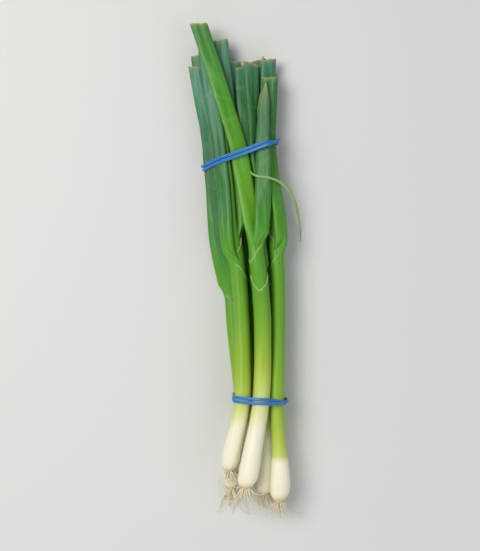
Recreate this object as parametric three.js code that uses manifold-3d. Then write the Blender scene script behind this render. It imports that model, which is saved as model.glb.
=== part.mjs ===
// A bunch of eight spring onions lying on a flat surface, held by two doubled rubber bands.
// Millimetres. +Y runs from the roots to the leaf tips, +Z is up, and the bunch rests on z = 0.
// Each onion is one grown plant, kept as three bodies by colour: the straw-coloured root tuft,
// the white shank with its bulb, and the green neck with the leaves that fork from it.

import * as THREE from "three";
import { mergeVertices } from "three/addons/utils/BufferGeometryUtils.js";
import Module from "manifold-3d";

const wasm = await Module();
wasm.setup();

// ---------------------------------------------------------------- driving dimensions

const gap = 0.35; // clear distance between any two bodies
const press = 0.35; // how far a soft stem is flattened where it rests on the surface
const middle = { x: -13.16, y: 83.89 }; // the middle of the whole bunch, as laid out below

// The bunch is laid out with the lower band at y = 0, in cross-sections this far apart.
const step = 9;
const yFirst = -72;
const stations = 38;

// The two rubber bands. Each winds round the bunch twice. The plane of a band is upright, and
// slants across the bunch: y is where it crosses x, and tilt is its slant in degrees. apart is from
// the middle of one turn to the middle of the next, and squeeze is how far it draws the stems in.
const bandThick = 1.2;
const bandWide = 2.1;
const bandSlack = 0.4; // how far a band stands off the stems, past the gap, as it bridges them
const cornerReach = 4; // extra length given to each radian of turn when a band is divided into steps
const bands = {
  lower: { y: 0, x: 0, tilt: -4, apart: 2.7, squeeze: 0.97 },
  upper: { y: 165, x: -16, tilt: 19, apart: 2.5, squeeze: 0.82 },
};
const bandReach = 27; // how far along the stems a band draws them in
const midHeight = 15; // the height towards which it draws them

// The middle line of the bunch, as places along Y and across X.
const course = [
  [-72, 0],
  [0, 0],
  [75, -6],
  [165, -16],
  [261, -24],
];

// How the heights at which the onions lie shrink towards the leaf tips, as places and factors.
const sinking = [
  [60, 1],
  [165, 0.8],
  [261, 0.7],
];

// The onions: three on top, two between and three on the surface.
// height: of the stem's middle, at the foot and at the lower band. foot: where the bulb ends, along Y.
// x: across the bunch, at the foot, at the lower band and where the first leaf forks. bulb and neck:
// radii. white: the length of the white shank.
// The leaves are listed oldest first, and the last is the heart leaf, which carries the neck straight
// on. fork: where a leaf leaves the neck. tip: where it ends. at: its place across the bunch, at the
// upper band and at its tip. rise: how far it lies above the stem's height. wide: its breadth. cut:
// true for a leaf trimmed square, which shows its hollow.
const onions = [
  {
    name: "onion_1", height: [20, 25], foot: -47, x: [-15, -9.4, -11], bulb: 6.1, neck: 5.1, white: 41,
    leaves: [
      { fork: 84, tip: 236, at: [-27, -37], rise: 4, wide: 9.8, cut: true },
      { fork: 102, tip: 244, at: [-18, -27], rise: -3, wide: 10.2, cut: true },
      { tip: 206, at: [-23, -27], rise: 0, wide: 7.6, cut: false },
    ],
  },
  {
    name: "onion_2", height: [30, 27], foot: -57, x: [-9.5, 2.2, 10], bulb: 6.6, neck: 5.6, white: 58,
    leaves: [
      { fork: 72, tip: 226, at: [-7, -12], rise: -7, wide: 9.4, cut: true },
      { fork: 96, tip: 214, at: [6, 4], rise: 4, wide: 10.6, cut: false },
      { tip: 254, at: [-12, -42], rise: 5, wide: 11.8, cut: true },
    ],
  },
  {
    name: "onion_3", height: [23, 23], foot: -67, x: [12.5, 11.6, 12.6], bulb: 6.5, neck: 4.6, white: 29,
    leaves: [
      { fork: 90, tip: 218, at: [9, 7], rise: 4, wide: 10.4, cut: true },
      { fork: 108, tip: 228, at: [-3, -6], rise: -2, wide: 9.8, cut: true },
      { tip: 208, at: [2, 0], rise: 0, wide: 7.8, cut: false },
    ],
  },
  {
    name: "onion_4", height: [16, 15.5], foot: -64, x: [4, 5.2, 9], bulb: 6.2, neck: 4.8, white: 46,
    leaves: [
      { fork: 66, tip: 231, at: [3, 6], rise: 2, wide: 10.2, cut: true },
      { fork: 92, tip: 222, at: [-6, -4], rise: -4, wide: 10, cut: true },
      { tip: 234, at: [-2, 2], rise: 0, wide: 8, cut: false },
    ],
  },
  {
    name: "onion_5", height: [15, 16], foot: -52, x: [-5, -5.2, -18], bulb: 5.6, neck: 4.7, white: 42,
    leaves: [
      { fork: 58, tip: 226, at: [-34, -44], rise: 3, wide: 9.6, cut: true },
      { fork: 78, tip: 240, at: [-27, -33], rise: -2, wide: 10.4, cut: true },
      { fork: 98, tip: 230, at: [-15, -18], rise: -2, wide: 9.8, cut: true },
      { tip: 212, at: [-21, -26], rise: 0, wide: 7.6, cut: false },
    ],
  },
  {
    name: "onion_6", height: [6, 6.5], foot: -61, x: [-15, -10.1, -22], bulb: 6.2, neck: 4.9, white: 48,
    leaves: [
      { fork: 62, tip: 235, at: [-34, -42], rise: 4, wide: 10.2, cut: true },
      { fork: 86, tip: 224, at: [-26, -32], rise: -4, wide: 10, cut: true },
      { tip: 236, at: [-30, -37], rise: 0, wide: 8, cut: false },
    ],
  },
  {
    name: "onion_7", height: [6, 6.5], foot: -53, x: [-1, 0, -9], bulb: 6, neck: 5, white: 44,
    leaves: [
      { fork: 74, tip: 229, at: [-19, -22], rise: 4, wide: 10.6, cut: true },
      { fork: 94, tip: 219, at: [-10, -11], rise: -4, wide: 10, cut: true },
      { tip: 233, at: [-14, -17], rise: 0, wide: 8, cut: false },
    ],
  },
  {
    name: "onion_8", height: [6, 6.5], foot: -62, x: [12, 10.1, 4], bulb: 6.3, neck: 4.9, white: 40,
    leaves: [
      { fork: 56, tip: 221, at: [1, 6], rise: 4, wide: 10.2, cut: true },
      { fork: 80, tip: 232, at: [-5, -2], rise: -4, wide: 10.4, cut: true },
      { fork: 100, tip: 214, at: [-9, -8], rise: 3, wide: 9.6, cut: true },
      { tip: 226, at: [-1, 4], rise: 0, wide: 7.8, cut: false },
    ],
  },
];

// The root tuft on each bulb.
const rootCount = 9;
const rootLength = [10, 22];
const rootRadius = 0.6;
const plateThick = 2.2;

// ---------------------------------------------------------------- colours and materials

const matt = (color, roughness) => new THREE.MeshStandardMaterial({ color, roughness, metalness: 0 });
const rootMaterial = matt("#cdb78e", 0.85);
const shankMaterial = matt("#eef0dc", 0.45);
const leafMaterial = matt("#5f9a34", 0.5);
const rubberMaterial = matt("#2a6cb8", 0.6);

// ---------------------------------------------------------------- small helpers

const radians = THREE.MathUtils.degToRad;
const clamp = THREE.MathUtils.clamp;
const mix = THREE.MathUtils.lerp;
const ease = (t) => THREE.MathUtils.smoothstep(t, 0, 1);
const length2 = (x, z) => Math.sqrt(x * x + z * z);

// An eased value through [place, value] pairs.
function along(pairs, y) {
  let i = 1;
  while (i < pairs.length - 1 && y > pairs[i][0]) i++;
  const [y0, v0] = pairs[i - 1];
  const [y1, v1] = pairs[i];
  return mix(v0, v1, ease((y - y0) / (y1 - y0)));
}

// Repeatable random numbers from 0 to 1.
function seeded(seed) {
  let s = seed;
  return () => {
    s = (s * 16807) % 2147483647;
    return s / 2147483647;
  };
}

// ---------------------------------------------------------------- the strands

// A strand is a stem or a leaf, laid as a row of cross-sections square to Y, one at each station. A
// cross-section is a flat oval: a core line "half" long to each side, with a round of "round" on it.

const leafThick = 3.5; // a leaf pressed flat in the bunch
const tipLength = 55; // a whole leaf tapers over this length
const leafSides = 8;
const neckSides = 10;
const shankSides = 12;

const stationY = (k) => yFirst + k * step;

// A leaf at y: nearly as thick as the neck where it leaves it, then broad and flat.
function leafShape(leaf, neck, fork, y) {
  let wide = mix(neck * 1.75, leaf.wide, ease((y - fork) / 30));
  let thick = mix(neck * 1.1, leafThick, ease((y - fork) / 70));
  if (!leaf.cut) {
    const left = clamp((leaf.tip - y) / tipLength, 0, 1);
    wide = mix(2.4, wide, Math.sqrt(left));
    thick = mix(1.8, thick, left);
  }
  return { half: Math.max(0, wide - thick) / 2, round: thick / 2 };
}

// A shank at y: a domed foot, the bulb's swelling, then the neck.
function shankRadius(onion, y) {
  const up = y - onion.foot;
  const body = mix(onion.bulb, onion.neck, ease((up - 10) / 34));
  const dome = clamp(up / 7, 0, 1);
  return body * Math.sqrt(mix(0.3, 1, dome * (2 - dome)));
}

// The strand of an onion's neck and heart leaf.
function neckStrand(onion, number) {
  const heart = onion.leaves.at(-1);
  const forks = onion.leaves.slice(0, -1).map((leaf) => leaf.fork);
  const lastFork = forks.at(-1);
  const path = [
    [onion.foot, onion.x[0]],
    [0, onion.x[1]],
    [forks[0], onion.x[2]],
    [bands.upper.y, heart.at[0]],
    [heart.tip, heart.at[1]],
  ];
  const shape = (y) => {
    const thinner = 1 - 0.07 * forks.filter((fork) => fork < y).length;
    const leaf = leafShape(heart, onion.neck * 0.8, lastFork, y);
    const t = ease((y - lastFork) / 24);
    return { half: leaf.half * t, round: mix(shankRadius(onion, y) * thinner, leaf.round, t) };
  };
  return strand({ number, shape, path, start: onion.foot, leaf: heart, fork: 0, lastFork });
}

// The strand of a leaf that forks from the neck, on the side where it goes.
function leafStrand(onion, number, leaf) {
  const heart = onion.leaves.at(-1);
  const stem = [[0, onion.x[1]], [onion.leaves[0].fork, onion.x[2]]];
  const path = [
    [leaf.fork, along(stem, leaf.fork)],
    [bands.upper.y, leaf.at[0]],
    [leaf.tip, leaf.at[1]],
  ];
  const shape = (y) => leafShape(leaf, onion.neck, leaf.fork, y);
  const side = leaf.at[0] < heart.at[0] ? -1 : 1;
  return strand({ number, shape, path, start: leaf.fork - 9, leaf, fork: leaf.fork, side });
}

// Adds a strand's stations: the first and last that it reaches, and the sections and aims at each.
function strand(s) {
  s.first = Math.floor((s.start - yFirst) / step);
  s.last = Math.ceil((s.leaf.tip - yFirst) / step);
  s.forkStation = Math.round((s.fork - yFirst) / step);
  s.sections = [];
  s.aims = [];
  for (let k = 0; k < stations; k++) {
    const y = stationY(k);
    s.sections.push(s.shape(Math.max(y, s.start + step)));
    const rise = s.leaf.rise * ease((y - (s.lastFork ?? s.fork)) / 30);
    const { foot, height } = onions[s.number];
    const z = along([[foot, height[0]], [0, height[1]]], clamp(y, foot, 0)) + rise;
    s.aims.push({ x: along(s.path, y), z: z * along(sinking, Math.max(y, sinking[0][0])) });
  }
  return s;
}

const strands = onions.flatMap((onion, number) => [
  neckStrand(onion, number),
  ...onion.leaves.slice(0, -1).map((leaf) => leafStrand(onion, number, leaf)),
]);

// ---------------------------------------------------------------- laying the strands

// The strands start spread out above the surface with nothing touching, are drawn in to their places,
// and settle. At each station they press each other apart, the surface holds them up, the bands pull
// them together, and their own stiffness keeps them straight.
const settle = {
  rounds: 1500, spread: 2.6, drawnIn: 0.35, stiff: 0.45, guide: 0.035, weight: 0.03, pull: 0.08,
  level: 0.09, free: 0.7,
};

// How far a place is along the bunch from a band's slanted plane.
function fromBand(band, x, y) {
  return y - band.y - (x - band.x) * Math.tan(radians(band.tilt));
}

// A section's core line as [x, z, x, z], for each strand and station.
function startSpread() {
  return strands.map((s, i) => {
    const lean = (((i * 7) % 5) - 2) * 0.16;
    return s.sections.map((section, k) => {
      const line = along(course, stationY(k));
      const x = line + (s.aims[k].x - line) * settle.spread;
      const z = s.aims[k].z * settle.spread;
      return [x - section.half, z - section.half * lean, x + section.half, z + section.half * lean];
    });
  });
}

function layStrands() {
  const cores = startSpread();
  const shoves = strands.map((s) => s.sections.map(() => [0, 0, 0, 0, 0, 0]));
  for (let round = 0; round < settle.rounds; round++) {
    const t = round / settle.rounds;
    const stage = {
      spread: mix(settle.spread, 1, ease(t / settle.drawnIn)),
      settling: t > settle.drawnIn * 0.8,
      resting: t > settle.free,
      force: t > settle.free ? (0.3 * (1 - t)) / (1 - settle.free) : 1,
    };
    strands.forEach((s, i) => {
      drawIn(s, cores[i], stage);
      straighten(s, cores[i], settle.stiff * stage.force);
    });
    followNecks(cores);
    pressApart(cores, shoves);
    strands.forEach((s, i) => hold(s, cores[i]));
  }
  return cores;
}

// Moves each section towards its place, down under its weight, and in where a band is near.
function drawIn(s, row, { spread, settling, resting, force }) {
  const guide = resting ? 0 : settling ? settle.guide : 0.12;
  for (let k = s.first; k <= s.last; k++) {
    const core = row[k];
    const y = stationY(k);
    const line = along(course, y);
    const x = (core[0] + core[2]) / 2;
    const z = (core[1] + core[3]) / 2;
    const dx = guide * (line + (s.aims[k].x - line) * spread - x);
    const sag = settling ? settle.weight * force : 0;
    const dz = guide * (s.aims[k].z * spread - z) - sag;
    const level = settling && !resting ? settle.level * (core[3] - core[1]) : 0;
    core[0] += dx;
    core[1] += dz + level;
    core[2] += dx;
    core[3] += dz - level;
    if (!settling) continue;
    for (const band of Object.values(bands)) {
      const pull = settle.pull * force * ease(1 - Math.abs(fromBand(band, x, y)) / bandReach);
      for (const end of [0, 2]) {
        core[end] += pull * (line + (s.aims[k].x - line) * band.squeeze - x);
        core[end + 1] += pull * (midHeight + (s.aims[k].z - midHeight) * band.squeeze - z);
      }
    }
  }
}

// Each section moves towards the middle of its neighbours, and one at an end towards their line.
function straighten(s, row, stiff) {
  const old = row.map((core) => core.slice());
  for (let k = s.first; k <= s.last; k++) {
    for (let i = 0; i < 4; i++) {
      if (k === s.first) row[k][i] += 0.5 * stiff * (2 * old[k + 1][i] - old[k + 2][i] - old[k][i]);
      else if (k === s.last) row[k][i] += 0.5 * stiff * (2 * old[k - 1][i] - old[k - 2][i] - old[k][i]);
      else row[k][i] += stiff * ((old[k - 1][i] + old[k + 1][i]) / 2 - old[k][i]);
    }
  }
}

// A leaf starts inside its own neck, and leaves it to one side.
function followNecks(cores) {
  let neck = 0;
  strands.forEach((s, i) => {
    if (s.fork === 0) {
      neck = i;
      return;
    }
    for (let k = s.first; k <= s.forkStation; k++) {
      const core = cores[neck][k];
      const half = s.sections[k].half;
      const x = (core[0] + core[2]) / 2 + s.side * (k < s.forkStation ? 0.4 : 1.3);
      const z = (core[1] + core[3]) / 2;
      cores[i][k] = [x - half, z, x + half, z];
    }
  });
}

// Presses apart the sections that are too near at each station. Two leaves of one onion only begin to
// press on each other past the fork where they part.
function pressApart(cores, shoves) {
  for (let k = 0; k < stations; k++) {
    const here = strands.map((s, i) => i).filter((i) => k >= strands[i].first && k <= strands[i].last);
    for (const i of here) shoves[i][k].fill(0);
    for (const i of here) {
      for (const j of here) {
        if (i === j) continue;
        let share = 1;
        if (strands[i].number === strands[j].number) {
          const fork = Math.max(strands[i].forkStation, strands[j].forkStation);
          share = ease(((k - fork) * step) / 24);
        }
        const room = (strands[i].sections[k].round + strands[j].sections[k].round + gap) * share;
        pushEnd(cores[i][k], shoves[i][k], 0, cores[j][k], shoves[j][k], room);
        pushEnd(cores[i][k], shoves[i][k], 2, cores[j][k], shoves[j][k], room);
        if (share === 1 && crossed(cores[i][k], cores[j][k])) {
          const up = strands[i].aims[k].z > strands[j].aims[k].z ? 1 : -1;
          shoves[i][k][1] += up;
          shoves[i][k][3] += up;
        }
      }
    }
    for (const i of here) {
      const core = cores[i][k];
      const [x0, z0, x1, z1, count0, count1] = shoves[i][k];
      core[0] += x0 / Math.max(count0, 1);
      core[1] += z0 / Math.max(count0, 1);
      core[2] += x1 / Math.max(count1, 1);
      core[3] += z1 / Math.max(count1, 1);
    }
  }
}

// Whether two core lines cut through each other.
function crossed(p, q) {
  const side = (ax, az, bx, bz, cx, cz) => (bx - ax) * (cz - az) - (bz - az) * (cx - ax);
  const [px, pz, rx, rz] = p;
  const [qx, qz, sx, sz] = q;
  return side(px, pz, rx, rz, qx, qz) * side(px, pz, rx, rz, sx, sz) < 0
    && side(qx, qz, sx, sz, px, pz) * side(qx, qz, sx, sz, rx, rz) < 0;
}

// Notes the push between one end of a core line and the nearest place on another core line.
function pushEnd(core, shove, end, other, otherShove, room) {
  const lineX = other[2] - other[0];
  const lineZ = other[3] - other[1];
  const x = core[end] - other[0];
  const z = core[end + 1] - other[1];
  const v = clamp((x * lineX + z * lineZ) / Math.max(lineX * lineX + lineZ * lineZ, 1e-9), 0, 1);
  const dx = x - lineX * v;
  const dz = z - lineZ * v;
  const distance = length2(dx, dz);
  if (distance >= room || distance < 1e-9) return;
  const by = (0.6 * (room - distance)) / distance;
  shove[end] += dx * by;
  shove[end + 1] += dz * by;
  shove[end === 0 ? 4 : 5] += 1;
  const whole = (1 - v) ** 2 + v ** 2;
  otherShove[0] -= (dx * by * (1 - v)) / whole;
  otherShove[1] -= (dz * by * (1 - v)) / whole;
  otherShove[2] -= (dx * by * v) / whole;
  otherShove[3] -= (dz * by * v) / whole;
  otherShove[4] += 1 - v;
  otherShove[5] += v;
}

// Keeps each section its own size, and above the surface or above a band that passes under it.
function hold(s, row) {
  for (let k = s.first; k <= s.last; k++) {
    const core = row[k];
    const { half, round } = s.sections[k];
    const x = (core[0] + core[2]) / 2;
    const z = (core[1] + core[3]) / 2;
    const scale = half / Math.max(length2(core[2] - core[0], core[3] - core[1]), 1e-6);
    const reachX = (core[2] - core[0]) * scale;
    const reachZ = (core[3] - core[1]) * scale;
    const onBand = Object.values(bands).some((band) => Math.abs(fromBand(band, x, stationY(k))) < step);
    const lowest = round + (onBand ? bandThick + gap + bandSlack : -press);
    core[0] = x - reachX;
    core[1] = Math.max(z - reachZ, lowest);
    core[2] = x + reachX;
    core[3] = Math.max(z + reachZ, lowest);
  }
}

const cores = layStrands();

// The angle of each section's flat, carried on along the round stretches, which have none.
const angles = strands.map((s, i) => {
  const row = s.sections.map(() => undefined);
  for (let k = s.last; k >= s.first; k--) {
    const [x0, z0, x1, z1] = cores[i][k];
    const flat = s.sections[k].half > 0.4;
    row[k] = flat ? Math.atan2(z1 - z0, x1 - x0) : (row[k + 1] ?? 0);
  }
  return row;
});

// The section of strand i at any y: its middle, angle and size.
function sectionAt(i, y) {
  const s = strands[i];
  const k = clamp(Math.floor((y - yFirst) / step), s.first, s.last - 1);
  const t = (y - stationY(k)) / step;
  const [a, b] = [cores[i][k], cores[i][k + 1]];
  const turn = ((angles[i][k + 1] - angles[i][k] + 3 * Math.PI) % (2 * Math.PI)) - Math.PI;
  return {
    x: mix(a[0] + a[2], b[0] + b[2], t) / 2,
    z: mix(a[1] + a[3], b[1] + b[3], t) / 2,
    angle: angles[i][k] + turn * t,
    ...s.shape(Math.max(y, s.start)),
  };
}

// The outline of a section in X and Z, with an even number of points, grown by "more".
function outline({ x, z, angle, half, round }, sides, more = 0) {
  const points = [];
  for (let n = 0; n < sides; n++) {
    const around = ((n + 0.5) / sides) * 2 * Math.PI;
    const reach = Math.cos(around) > 0 ? half : -half;
    const u = reach + (round + more) * Math.cos(around);
    const v = (round + more) * Math.sin(around);
    points.push([
      x + u * Math.cos(angle) - v * Math.sin(angle),
      z + u * Math.sin(angle) + v * Math.cos(angle),
    ]);
  }
  return points;
}

// ---------------------------------------------------------------- solids

// A closed geometry from rings of points, each ring joined to the next, with a middle point at each end.
function skin(rings, startMiddle, endMiddle) {
  const sides = rings[0].length;
  const points = [...rings.flat(), startMiddle, endMiddle];
  const start = points.length - 2;
  const end = points.length - 1;
  const index = [];
  for (let r = 0; r < rings.length - 1; r++) {
    for (let n = 0; n < sides; n++) {
      const a = r * sides + n;
      const b = r * sides + ((n + 1) % sides);
      index.push(a, a + sides, b, b, a + sides, b + sides);
    }
  }
  const lastRing = (rings.length - 1) * sides;
  for (let n = 0; n < sides; n++) {
    const m = (n + 1) % sides;
    index.push(start, n, m);
    index.push(end, lastRing + m, lastRing + n);
  }
  return closed(points, index);
}

function closed(points, index) {
  const geometry = new THREE.BufferGeometry();
  geometry.setAttribute("position", new THREE.Float32BufferAttribute(points.flat(), 3));
  geometry.setIndex(index);
  return geometry;
}

function solid(geometry) {
  geometry.deleteAttribute("normal");
  geometry.deleteAttribute("uv");
  const merged = mergeVertices(geometry, 1e-4);
  const vertProperties = new Float32Array(merged.attributes.position.array);
  const triVerts = new Uint32Array(merged.index.array);
  return new wasm.Manifold(new wasm.Mesh({ numProp: 3, vertProperties, triVerts }));
}

function geometryOf(manifold) {
  const { vertProperties, triVerts, numProp } = manifold.getMesh();
  const geometry = new THREE.BufferGeometry();
  const position = new Float32Array((vertProperties.length / numProp) * 3);
  for (let v = 0; v < position.length / 3; v++) {
    for (let i = 0; i < 3; i++) position[v * 3 + i] = vertProperties[v * numProp + i];
  }
  geometry.setAttribute("position", new THREE.BufferAttribute(position, 3));
  geometry.setIndex([...triVerts]);
  return geometry;
}

// What lies under the surface is pressed flat.
const under = new THREE.BoxGeometry(400, 600, 20);
under.translate(0, 80, -10);
const underground = solid(under);

// The mesh of a piece, without the sealed pockets, scraps and slivers that joining can leave.
function mesh(name, manifold, material) {
  const bodies = manifold.simplify(0.02).decompose().toSorted((a, b) => a.volume() - b.volume());
  const geometry = geometryOf(bodies.at(-1));
  geometry.computeVertexNormals();
  const piece = new THREE.Mesh(geometry, material);
  piece.name = name;
  return piece;
}

// A tube along strand i through the places ys. A cut leaf shows the hollow at its end.
function tube(i, ys, sides, cut) {
  const rings = ys.map((y) => outline(sectionAt(i, y), sides).map(([x, z]) => [x, y, z]));
  const first = sectionAt(i, ys[0]);
  const last = sectionAt(i, ys.at(-1));
  const end = [last.x, ys.at(-1), last.z];
  if (cut) {
    const bore = outline({ ...last, round: last.round * 0.55 }, sides);
    rings.push(bore.map(([x, z]) => [x, ys.at(-1), z]));
    end[1] -= 6;
  }
  return solid(skin(rings, [first.x, ys[0], first.z], end));
}

// The stations between two places, with the places themselves.
function places(from, to, fine = []) {
  const between = [];
  for (let k = 0; k < stations; k++) {
    const y = stationY(k);
    if (y > from + (fine.at(-1) ?? 0) + 3 && y < to - 3) between.push(y);
  }
  return [from, ...fine.map((d) => from + d), ...between, to];
}

// ---------------------------------------------------------------- shanks and leaves

const meshes = [];
const neckOf = onions.map((onion, number) => strands.findIndex((s) => s.number === number && s.fork === 0));

onions.forEach((onion, number) => {
  const neck = neckOf[number];
  const top = onion.foot + onion.white;
  const shank = tube(neck, places(onion.foot, top, [1, 3, 7, 13]), shankSides, false);
  meshes.push(mesh(`${onion.name}_shank`, shank.subtract(underground), shankMaterial));

  const heart = onion.leaves.at(-1);
  let leaves = tube(neck, places(top + gap, heart.tip), neckSides, heart.cut);
  strands.forEach((s, i) => {
    if (s.number !== number || s.fork === 0) return;
    leaves = leaves.add(tube(i, places(s.fork - 6, s.leaf.tip), leafSides, s.leaf.cut));
  });
  meshes.push(mesh(`${onion.name}_leaves`, leaves.subtract(underground), leafMaterial));
});

// ---------------------------------------------------------------- root tufts

// The axis of an onion at y, carried straight on past the foot of its bulb.
function axisAt(number, y) {
  const i = neckOf[number];
  const foot = onions[number].foot;
  if (y >= foot) return sectionAt(i, y);
  const a = sectionAt(i, foot);
  const b = sectionAt(i, foot + step);
  const t = clamp((y - foot) / step, -1.5, 0);
  return { x: a.x + (b.x - a.x) * t * 0.6, z: a.z + (b.z - a.z) * t * 0.6, round: 0 };
}

// Moves a root's place clear of the other bulbs, of the other tufts and of the surface.
function clearOfOthers(number, x, y, z, radius) {
  const own = axisAt(number, y);
  for (let pass = 0; pass < 12; pass++) {
    onions.forEach((other, j) => {
      if (j === number) return;
      const axis = axisAt(j, y);
      const dx = x - axis.x;
      const dz = z - axis.z;
      const away = length2(dx, dz);
      const room = axis.round + radius + 0.5;
      if (y > other.foot - 3 && away < room) {
        x += (dx / away) * (room - away);
        z += (dz / away) * (room - away);
      }
      if (y > other.foot) return;
      const spanX = own.x - axis.x;
      const spanZ = own.z - axis.z;
      const span = length2(spanX, spanZ);
      const past = (dx * spanX + dz * spanZ) / span - span / 2;
      if (past < radius + 0.4) {
        x += (spanX / span) * (radius + 0.4 - past);
        z += (spanZ / span) * (radius + 0.4 - past);
      }
    });
    z = Math.max(z, radius + 0.1);
  }
  return [x, y, z];
}

// A three-sided root that starts inside the plate and tapers to its tip.
function root(number, angle, reach, size, random) {
  const axis = axisAt(number, onions[number].foot);
  const foot = onions[number].foot;
  const lean = mix(0.25, 0.75, random());
  const swirl = (random() - 0.5) * 1.2;
  const parts = 3;
  const rings = [];
  for (let n = 0; n <= parts; n++) {
    const t = n / parts;
    const radius = rootRadius * mix(1, 0.62, t);
    const around = angle + swirl * t * t;
    const out = reach + size * lean * Math.sin(t * 1.3) * 0.55;
    const y = foot - gap - 1 - size * t * mix(1, 0.75, lean);
    const x = axis.x + out * Math.cos(around);
    const z = axis.z + out * Math.sin(around) - 2.5 * t * t;
    const centre = n === 0 ? [x, y, z] : clearOfOthers(number, x, y, z, radius);
    rings.push([0, 1, 2].map((side) => {
      const turn = (-side * 2 * Math.PI) / 3;
      return [centre[0] + radius * Math.cos(turn), centre[1], centre[2] + radius * Math.sin(turn)];
    }));
  }
  const middleOf = (ring) => [0, 1, 2].map((i) => (ring[0][i] + ring[1][i] + ring[2][i]) / 3);
  return solid(skin(rings, middleOf(rings[0]), middleOf(rings.at(-1))));
}

onions.forEach((onion, number) => {
  const random = seeded(101 + number * 17);
  const section = sectionAt(neckOf[number], onion.foot);
  const plateRing = (back, scale) => {
    const ring = outline({ ...section, round: section.round * scale }, 12);
    return ring.map(([x, z]) => [x, onion.foot - gap - back, z]);
  };
  const far = [section.x, onion.foot - gap - plateThick, section.z];
  const near = [section.x, onion.foot - gap, section.z];
  let tuft = solid(skin([plateRing(plateThick, 0.6), plateRing(1.2, 0.92), plateRing(0, 0.95)], far, near));
  for (let n = 0; n < rootCount; n++) {
    const angle = (n * 2 * Math.PI) / ((1 + Math.sqrt(5)) / 2) ** 2;
    const reach = section.round * mix(0.15, 0.62, Math.sqrt((n + 0.5) / rootCount));
    const size = mix(rootLength[0], rootLength[1], random());
    tuft = tuft.add(root(number, angle, reach, size, random));
  }
  meshes.push(mesh(`${onion.name}_roots`, tuft.subtract(underground), rootMaterial));
});

// ---------------------------------------------------------------- rubber bands

// The stretched line of a band round all the stems in its slanted plane, as points evenly spaced
// along it. u runs across the bunch in the plane, and v is the height.
function bandLine(band, count) {
  const slope = Math.tan(radians(band.tilt));
  const slant = Math.sqrt(1 + slope * slope);
  const points = [];
  strands.forEach((s, i) => {
    let y = band.y;
    for (let pass = 0; pass < 6; pass++) y = band.y + (sectionAt(i, y).x - band.x) * slope;
    if (y < s.start || y > s.leaf.tip) return;
    for (const [x, z] of outline(sectionAt(i, y), 24, gap + bandSlack + bandThick / 2)) {
      points.push([(x - band.x) * slant, z]);
    }
  });
  return evenly(hull(points), count);
}

// The outer points of a flat set, in order round it.
function hull(points) {
  const sorted = points.toSorted((a, b) => a[0] - b[0] || a[1] - b[1]);
  const half = (list) => {
    const chain = [];
    for (const p of list) {
      while (chain.length > 1) {
        const [a, b] = chain.slice(-2);
        if ((b[0] - a[0]) * (p[1] - a[1]) - (b[1] - a[1]) * (p[0] - a[0]) > 0) break;
        chain.pop();
      }
      chain.push(p);
    }
    return chain.slice(0, -1);
  };
  return [...half(sorted), ...half(sorted.reverse())];
}

// Points spaced round a closed line from its rightmost point, closer together where it turns.
function evenly(line, count) {
  const start = line.reduce((best, p, i) => (p[0] > line[best][0] ? i : best), 0);
  const loop = [...line.slice(start), ...line.slice(0, start), line[start]];
  const far = [0];
  let heading = Math.PI / 2;
  for (let i = 1; i < loop.length; i++) {
    const dx = loop[i][0] - loop[i - 1][0];
    const dz = loop[i][1] - loop[i - 1][1];
    const next = Math.atan2(dz, dx);
    const turn = Math.abs(((next - heading + 3 * Math.PI) % (2 * Math.PI)) - Math.PI);
    heading = next;
    far.push(far[i - 1] + length2(dx, dz) + turn * cornerReach);
  }
  const points = [];
  let i = 1;
  for (let n = 0; n < count; n++) {
    const wanted = (far.at(-1) * n) / count;
    while (far[i] < wanted) i++;
    const t = (wanted - far[i - 1]) / (far[i] - far[i - 1]);
    points.push([mix(loop[i - 1][0], loop[i][0], t), mix(loop[i - 1][1], loop[i][1], t)]);
  }
  return points;
}

// One closed loop of rubber, wound twice. Its two turns lie side by side, and change places at one
// crossing, on the right-hand side of the bunch, where one turn climbs over the other.
function rubberBand(name, band) {
  const count = 36;
  const line = bandLine(band, count);
  const crossing = 2; // how far round from the rightmost point, in steps
  const tilt = radians(band.tilt);
  const rings = [];
  for (let n = 0; n < 2 * count; n++) {
    const [u, v] = line[n % count];
    const before = line[(n + count - 1) % count];
    const after = line[(n + 1) % count];
    const run = length2(after[0] - before[0], after[1] - before[1]);
    const out = [(after[1] - before[1]) / run, -(after[0] - before[0]) / run];
    const phase = ((n - crossing + count / 2) / count) * Math.PI;
    const aside = (band.apart / 2) * Math.tanh(6 * Math.cos(phase));
    const steps = Math.abs(((n - crossing + 2 * count + count / 2) % (2 * count)) - count / 2);
    const hump = (bandThick + gap) * (1 - ease((steps - 2.2) / 3));
    rings.push({ u, v, out, aside, hump });
  }
  return meshOfBand(name, band, rings, tilt);
}

function meshOfBand(name, band, rings, tilt) {
  const corners = [[-1, 0], [-0.75, -1], [0.75, -1], [1, 0], [0.75, 1], [-0.75, 1]];
  const points = rings.flatMap(({ u, v, out, aside, hump }) => corners.map(([w, t]) => {
    const raise = hump + (t * bandThick) / 2;
    const across = u + out[0] * raise;
    const forward = aside + (w * bandWide) / 2;
    return [
      band.x + across * Math.cos(tilt) - forward * Math.sin(tilt),
      band.y + across * Math.sin(tilt) + forward * Math.cos(tilt),
      v + out[1] * raise,
    ];
  }));
  const sides = corners.length;
  const total = points.length;
  const index = [];
  for (let r = 0; r < rings.length; r++) {
    for (let n = 0; n < sides; n++) {
      const a = r * sides + n;
      const b = r * sides + ((n + 1) % sides);
      index.push(a, (a + sides) % total, b, b, (a + sides) % total, (b + sides) % total);
    }
  }
  return mesh(name, solid(closed(points, index)).subtract(underground), rubberMaterial);
}

meshes.push(rubberBand("band_lower", bands.lower));
meshes.push(rubberBand("band_upper", bands.upper));

const bunch = new THREE.Group();
bunch.name = "spring_onion_bunch";
bunch.position.set(-middle.x, -middle.y, 0);
bunch.add(...meshes);

export default bunch;
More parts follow.
